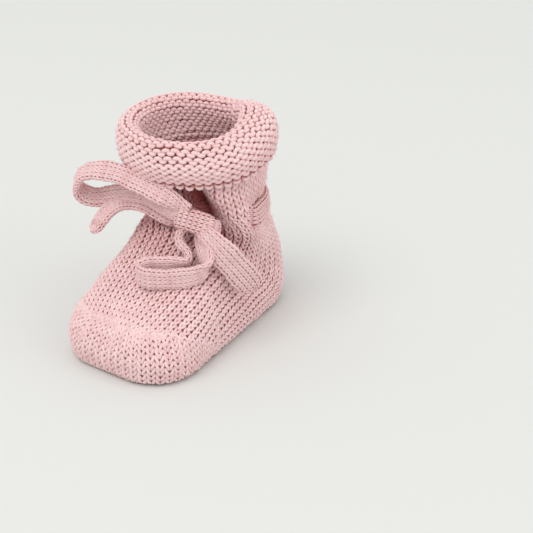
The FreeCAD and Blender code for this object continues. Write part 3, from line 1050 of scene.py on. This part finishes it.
LOWER = [
    (14.0, -7.5, 43.9), (15.9, -9.2, 41.2), (19.2, -11.0, 37.8), (21.4, -13.0, 34.3),
    (19.8, -16.4, 31.9), (15.7, -21.1, 31.3), (10.0, -25.1, 30.9), (4.0, -27.4, 30.6),
    (0.4, -25.2, 31.6), (3.2, -22.6, 33.0), (9.9, -19.6, 33.9), (15.4, -15.6, 34.8),
    (13.8, -13.6, 38.0), (9.6, -14.0, 40.4), (8.6, -12.0, 43.6), (10.0, -8.6, 45.8),
    (8.0, -7.0, 47.0), (2.0, -8.6, 46.6), (-3.6, -8.6, 48.0), (-9.0, -9.4, 49.3),
    (-14.9, -11.2, 49.4), (-19.0, -14.4, 47.9), (-20.8, -18.4, 45.2), (-21.5, -23.8, 39.9),
]
LOWER_WIDTH = [
    (0.5, 0.3, 0.3), (0.6, 0.3, 0.6), (0.5, 0.2, 0.8), (0.3, 0.1, 0.95), (0.1, 0, 1), (0, 0, 1),
    (0, 0, 1), (0, 0, 1), (0, 0, 1), (0, 0, 1), (0, 0, 1), (0.3, -0.3, 0.9), (0.5, -0.7, 0.5),
    (0.5, -0.7, 0.4), (0.5, -0.7, 0.4), (0.6, -0.6, 0.4), (0.2, 0.2, 0.9), (-0.2, 0.5, 0.8),
    (-0.2, 0.7, 0.6), (-0.2, 0.8, 0.5), (-0.4, 0.7, 0.5), (-0.7, 0.4, 0.25), (-0.7, 0.35, 0.2),
    (-0.7, 0.35, 0.2),
]


def nurbs_line(name, route):
    """The smooth line of a route: an order 3 NURBS spline read back as points."""
    curve = bpy.data.curves.new(name, "CURVE")
    curve.dimensions = "3D"
    curve.resolution_u = 24
    spline = curve.splines.new("NURBS")
    spline.points.add(len(route) - 1)
    for point, place in zip(spline.points, route):
        point.co = (*(c * MM for c in place), 1.0)
    spline.order_u = 3
    spline.use_endpoint_u = True
    holder = bpy.data.objects.new(name, curve)
    mesh = bpy.data.meshes.new_from_object(holder)
    line = np.array([vertex.co[:] for vertex in mesh.vertices]) / MM
    bpy.data.objects.remove(holder)
    bpy.data.meshes.remove(mesh)
    bpy.data.curves.remove(curve)
    return line


def strap_ring(half_width, half_thick, count=60):
    """A flat rounded cross-section, evenly spaced, from the middle of one face."""
    turn = np.linspace(0, math.tau, 361)[:-1]
    x = np.sign(np.sin(turn)) * np.abs(np.sin(turn)) ** 0.75 * half_width
    y = np.sign(np.cos(turn)) * np.abs(np.cos(turn)) ** 0.75 * half_thick
    return spaced(np.c_[x, y], count)


def strap_grid(line, widths, half_width, half_thick, crease):
    """The middle surface of a flat knitted cord along a line, dented by crease
    along the middle of both faces."""
    tangent = unit(np.gradient(line, axis=0))
    across = unit(widths - tangent * np.sum(widths * tangent, -1, keepdims=True))
    out = np.cross(tangent, across)
    grid = np.empty((len(line), 60, 3))
    for k in range(len(line)):
        ring = strap_ring(half_width[k], half_thick[k])
        fold = crease * np.exp(-(ring[:, 0] / 0.8) ** 2) * np.sign(ring[:, 1])
        grid[k] = line[k] + np.outer(ring[:, 0], across[k]) + np.outer(ring[:, 1] - fold, out[k])
    return grid


def strap_size(at, wide, thick, pinches, tips, flare):
    """Half width and half thickness along a strap. pinches are (place, share of
    the width left, how long); tips rounds off the start and the end; the last
    stretch widens by flare."""
    total = at[-1]
    half_width = wide * (1 + 0.04 * np.sin(at * 0.6) + 0.03 * np.sin(at * 1.7 + 1))
    half_width = half_width * (1 + (flare - 1) * smooth(total - 32, total - 18, at))
    half_thick = np.full(len(at), thick)
    for place, share, reach in pinches:
        close = np.exp(-((at - place) / reach) ** 2)
        half_width = half_width * (1 - (1 - share) * close)
        half_thick = half_thick * (1 + (1 / share - 1) * 0.7 * close)
    for rounded, distance in zip(tips, (at, total - at)):
        if rounded:
            end = np.sqrt(np.clip(1 - (1 - np.clip(distance / 3.6, 0, 1)) ** 2, 0.02, 1))
            half_width = half_width * end
            half_thick = half_thick * np.clip(end + 0.25, 0, 1)
    return half_width, half_thick


def strap(yarn, line, directions, wide=3.2, thick=0.7, wales=10, radius=0.42, pinches=(),
          tips=(False, False), crease=0.0, flare=1.0, light=None):
    """Adds a flat tube of fine stockinette to the yarn; strap_size has the sizes.
    directions say where its width points, and light gives the daylight painted into its colour."""
    along = lengths(line)
    at = np.linspace(0, along[-1], max(40, int(along[-1] / 0.5)))
    path = read_at(at, along, line)
    widths = read_at(at, np.linspace(0, along[-1], len(directions)), np.array(directions, float))
    half_width, half_thick = strap_size(at, wide, thick, pinches, tips, flare)
    sheet = Sheet(strap_grid(path, widths, half_width, half_thick, crease), outward=-1.0)
    paths, normals, lifts, pitch = course_stitches(
        sheet, wales, 0.0, None, row=1.7, depth=0.35, samples=10, lean=0.22, closer=0.05,
        wobble=0.04)
    rows = (np.arange(len(paths)) + 0.5) * pitch
    size = radius * np.clip(np.interp(rows, at, half_width) / wide, 0.7, 1.25)
    yarn.add(paths, normals, size[:, None], lifts, closed=True, lit=light(paths) if light else 1.0)
    yarn.fuzz(paths, normals, 0.4, 0.05)
    inside = strap_grid(path, widths, np.maximum(half_width - 0.1, 0.1),
                        np.maximum(half_thick - 0.05, 0.08), crease)
    yarn.core(inside[::2, ::4])


BACK = 13   # the point of both routes that lies in the knot on the way back


def tie_cord(name, route, directions, nodes, start_reach, knot_reach, flare):
    """A loop and its tail: one free cord, pinched at its start and where point
    BACK of its route passes through the knot again."""
    line = nurbs_line(name, route)
    along = lengths(line)
    knot_at = along[np.argmin(np.linalg.norm(line - np.array(route[BACK]), axis=1))]
    yarn = Yarn()
    strap(yarn, line, directions, pinches=((0.0, 0.55, start_reach), (knot_at, 0.5, knot_reach)),
          tips=(False, True), crease=0.18, flare=flare)
    thing = yarn.mesh(name, tie_yarn, nodes, "tie", 0.85)


def leg_reach(z, turn):
    """Distance from the leg's axis to the knit at a height, eased round."""
    ring = section(body, 0.0, (0.0, z))
    angle = np.mod(around_leg(ring), 360.0)
    order = np.argsort(angle)
    away = np.interp(turn, angle[order], from_axis(ring[order]), period=360.0)
    return np.convolve(np.r_[away[-20:], away, away[:20]], np.ones(41) / 41, "valid")


# Where the tie runs inside the knit, in degrees round the leg: under the plump
# fold beside the knot, and three times more at the back and the sides.
SLOTS = ((30, 76), (146, 166), (222, 242), (300, 318))


def ankle_band():
    """The tie's run round the ankle, over the knit and in through the slots."""
    turn = np.linspace(20.0, 384.0, 500)
    sine, cosine = np.sin(np.radians(turn)), np.cos(np.radians(turn))
    base = leg_reach(45.2, turn)
    slope = (leg_reach(47.8, turn) - leg_reach(42.4, turn)) / 5.4
    hidden = sum(window(low - 4, low + 3, high - 3, high + 4, turn) for low, high in SLOTS)
    away = base + 2.5 - 4.2 * hidden
    height = (44.9 + 0.5 * np.sin(np.radians(turn) * 2) + 1.2 * smooth(350, 384, turn)
              + 1.2 * (1 - smooth(20, 40, turn)))
    line = np.c_[LEG_X + away * sine, LEG_Y - away * cosine, height]
    up = np.c_[slope * sine, -slope * cosine, np.ones(len(turn))]
    yarn = Yarn()
    strap(yarn, line, up, wide=3.4, thick=0.6, light=band_painted_daylight)
    yarn.mesh("tie_band_knit", tie_yarn, ("tie_ankle_band",), "tie", 1.3)


def knot():
    """The bow's knot: a plump core with two wraps of the same cord round it."""
    axis = unit(np.array([0.80, 0.50, -0.30]))
    front = unit(np.array([0.5, -0.75, 0.45]))
    front = unit(front - axis * (front @ axis))
    side = np.cross(axis, front)
    middle = KNOT + front * 0.6
    at = np.linspace(-5.4, 5.4, 40)
    size = 0.58 + 0.42 * np.sqrt(np.clip(1 - (at / 6.2) ** 2, 0, 1))
    size = size * (1 - 0.16 * np.exp(-((at - 2.6) / 0.9) ** 2))
    turn = np.linspace(0, math.tau, 60, endpoint=False)
    grid = np.array([middle + axis * a + np.outer(np.sin(turn), side) * 2.9 * r
                     + np.outer(np.cos(turn), front) * 2.7 * r for a, r in zip(at, size)])
    yarn = Yarn()
    yarn.core(grid[::2, ::4])
    lean = unit(side + axis * 0.25)
    turn = np.radians(np.linspace(-85, 265, 120))
    for reach, rise, wide, shift in ((6.0, 3.5, 3.3, -0.6), (2.6, 2.5, 2.3, 4.9)):
        arc = (middle + axis * shift + np.outer(np.cos(turn), axis) * reach
               + np.outer(np.sin(turn), front) * rise)
        strap(yarn, arc, [lean, lean], wide=wide, thick=0.9, wales=11, radius=0.38)
    yarn.mesh("tie_knot_knit", tie_yarn, ("tie_knot",), "tie", 1.4)


tie_cord("tie_upper_cord", UPPER, UPPER_WIDTH, ("tie_upper_loop", "tie_right_tail"),
         start_reach=7.0, knot_reach=8.0, flare=1.42)
tie_cord("tie_lower_cord", LOWER, LOWER_WIDTH, ("tie_lower_loop", "tie_left_tail"),
         start_reach=6.0, knot_reach=7.0, flare=0.95)
ankle_band()
knot()
knit_toe(knit_foot())
knit_leg()
sewn_seam()
# Skins of painted shade behind the knit of the foot and the leg.
backing_piece("foot_backing", foot.grid[OVERLAP - 1:])
backing_piece("leg_backing", leg.grid[OVERLAP - 1:-3])


# ---- set
def stage():
    """The white floor under the bootie."""
    data = bpy.data.meshes.new("floor")
    size = 3.0
    data.from_pydata([(-size, -size, 0), (size, -size, 0), (size, size, 0), (-size, size, 0)], [],
                     [(0, 1, 2, 3)])
    floor = new_object("floor", data)
    floor.location.z = -0.0002
    data.materials.append(principled("paper", lambda tree: (0.715, 0.718, 0.703, 1),
                                     Roughness=0.9, Specular_IOR_Level=0.1)[0])


AIM = Vector((0, 0, 0.03))     # what both lamps point at


def light(name, place, size, power, colour):
    """A round lamp that points at the bootie."""
    data = bpy.data.lights.new(name, "AREA")
    data.shape = "DISK"
    data.size, data.energy, data.color = size, power, colour
    thing = new_object(name, data)
    thing.location = place
    way = AIM - Vector(place)
    thing.rotation_euler = way.to_track_quat("-Z", "Y").to_euler()


def studio():
    """Soft light from all round, with a key lamp and a fainter one at the side."""
    world = bpy.data.worlds.new("studio")
    bpy.context.scene.world = world
    world.use_nodes = True
    background = world.node_tree.nodes["Background"]
    background.inputs["Color"].default_value = (0.985, 1.0, 0.985, 1)
    background.inputs["Strength"].default_value = 0.88
    light("key", (-0.10, -1.15, 2.15), 1.6, 18.5, (1.0, 0.985, 0.97))
    light("side", (1.9, 0.5, 1.0), 1.4, 5.0, (1.0, 0.99, 0.98))
    bpy.context.scene.view_settings.view_transform = "Standard"


stage()
studio()
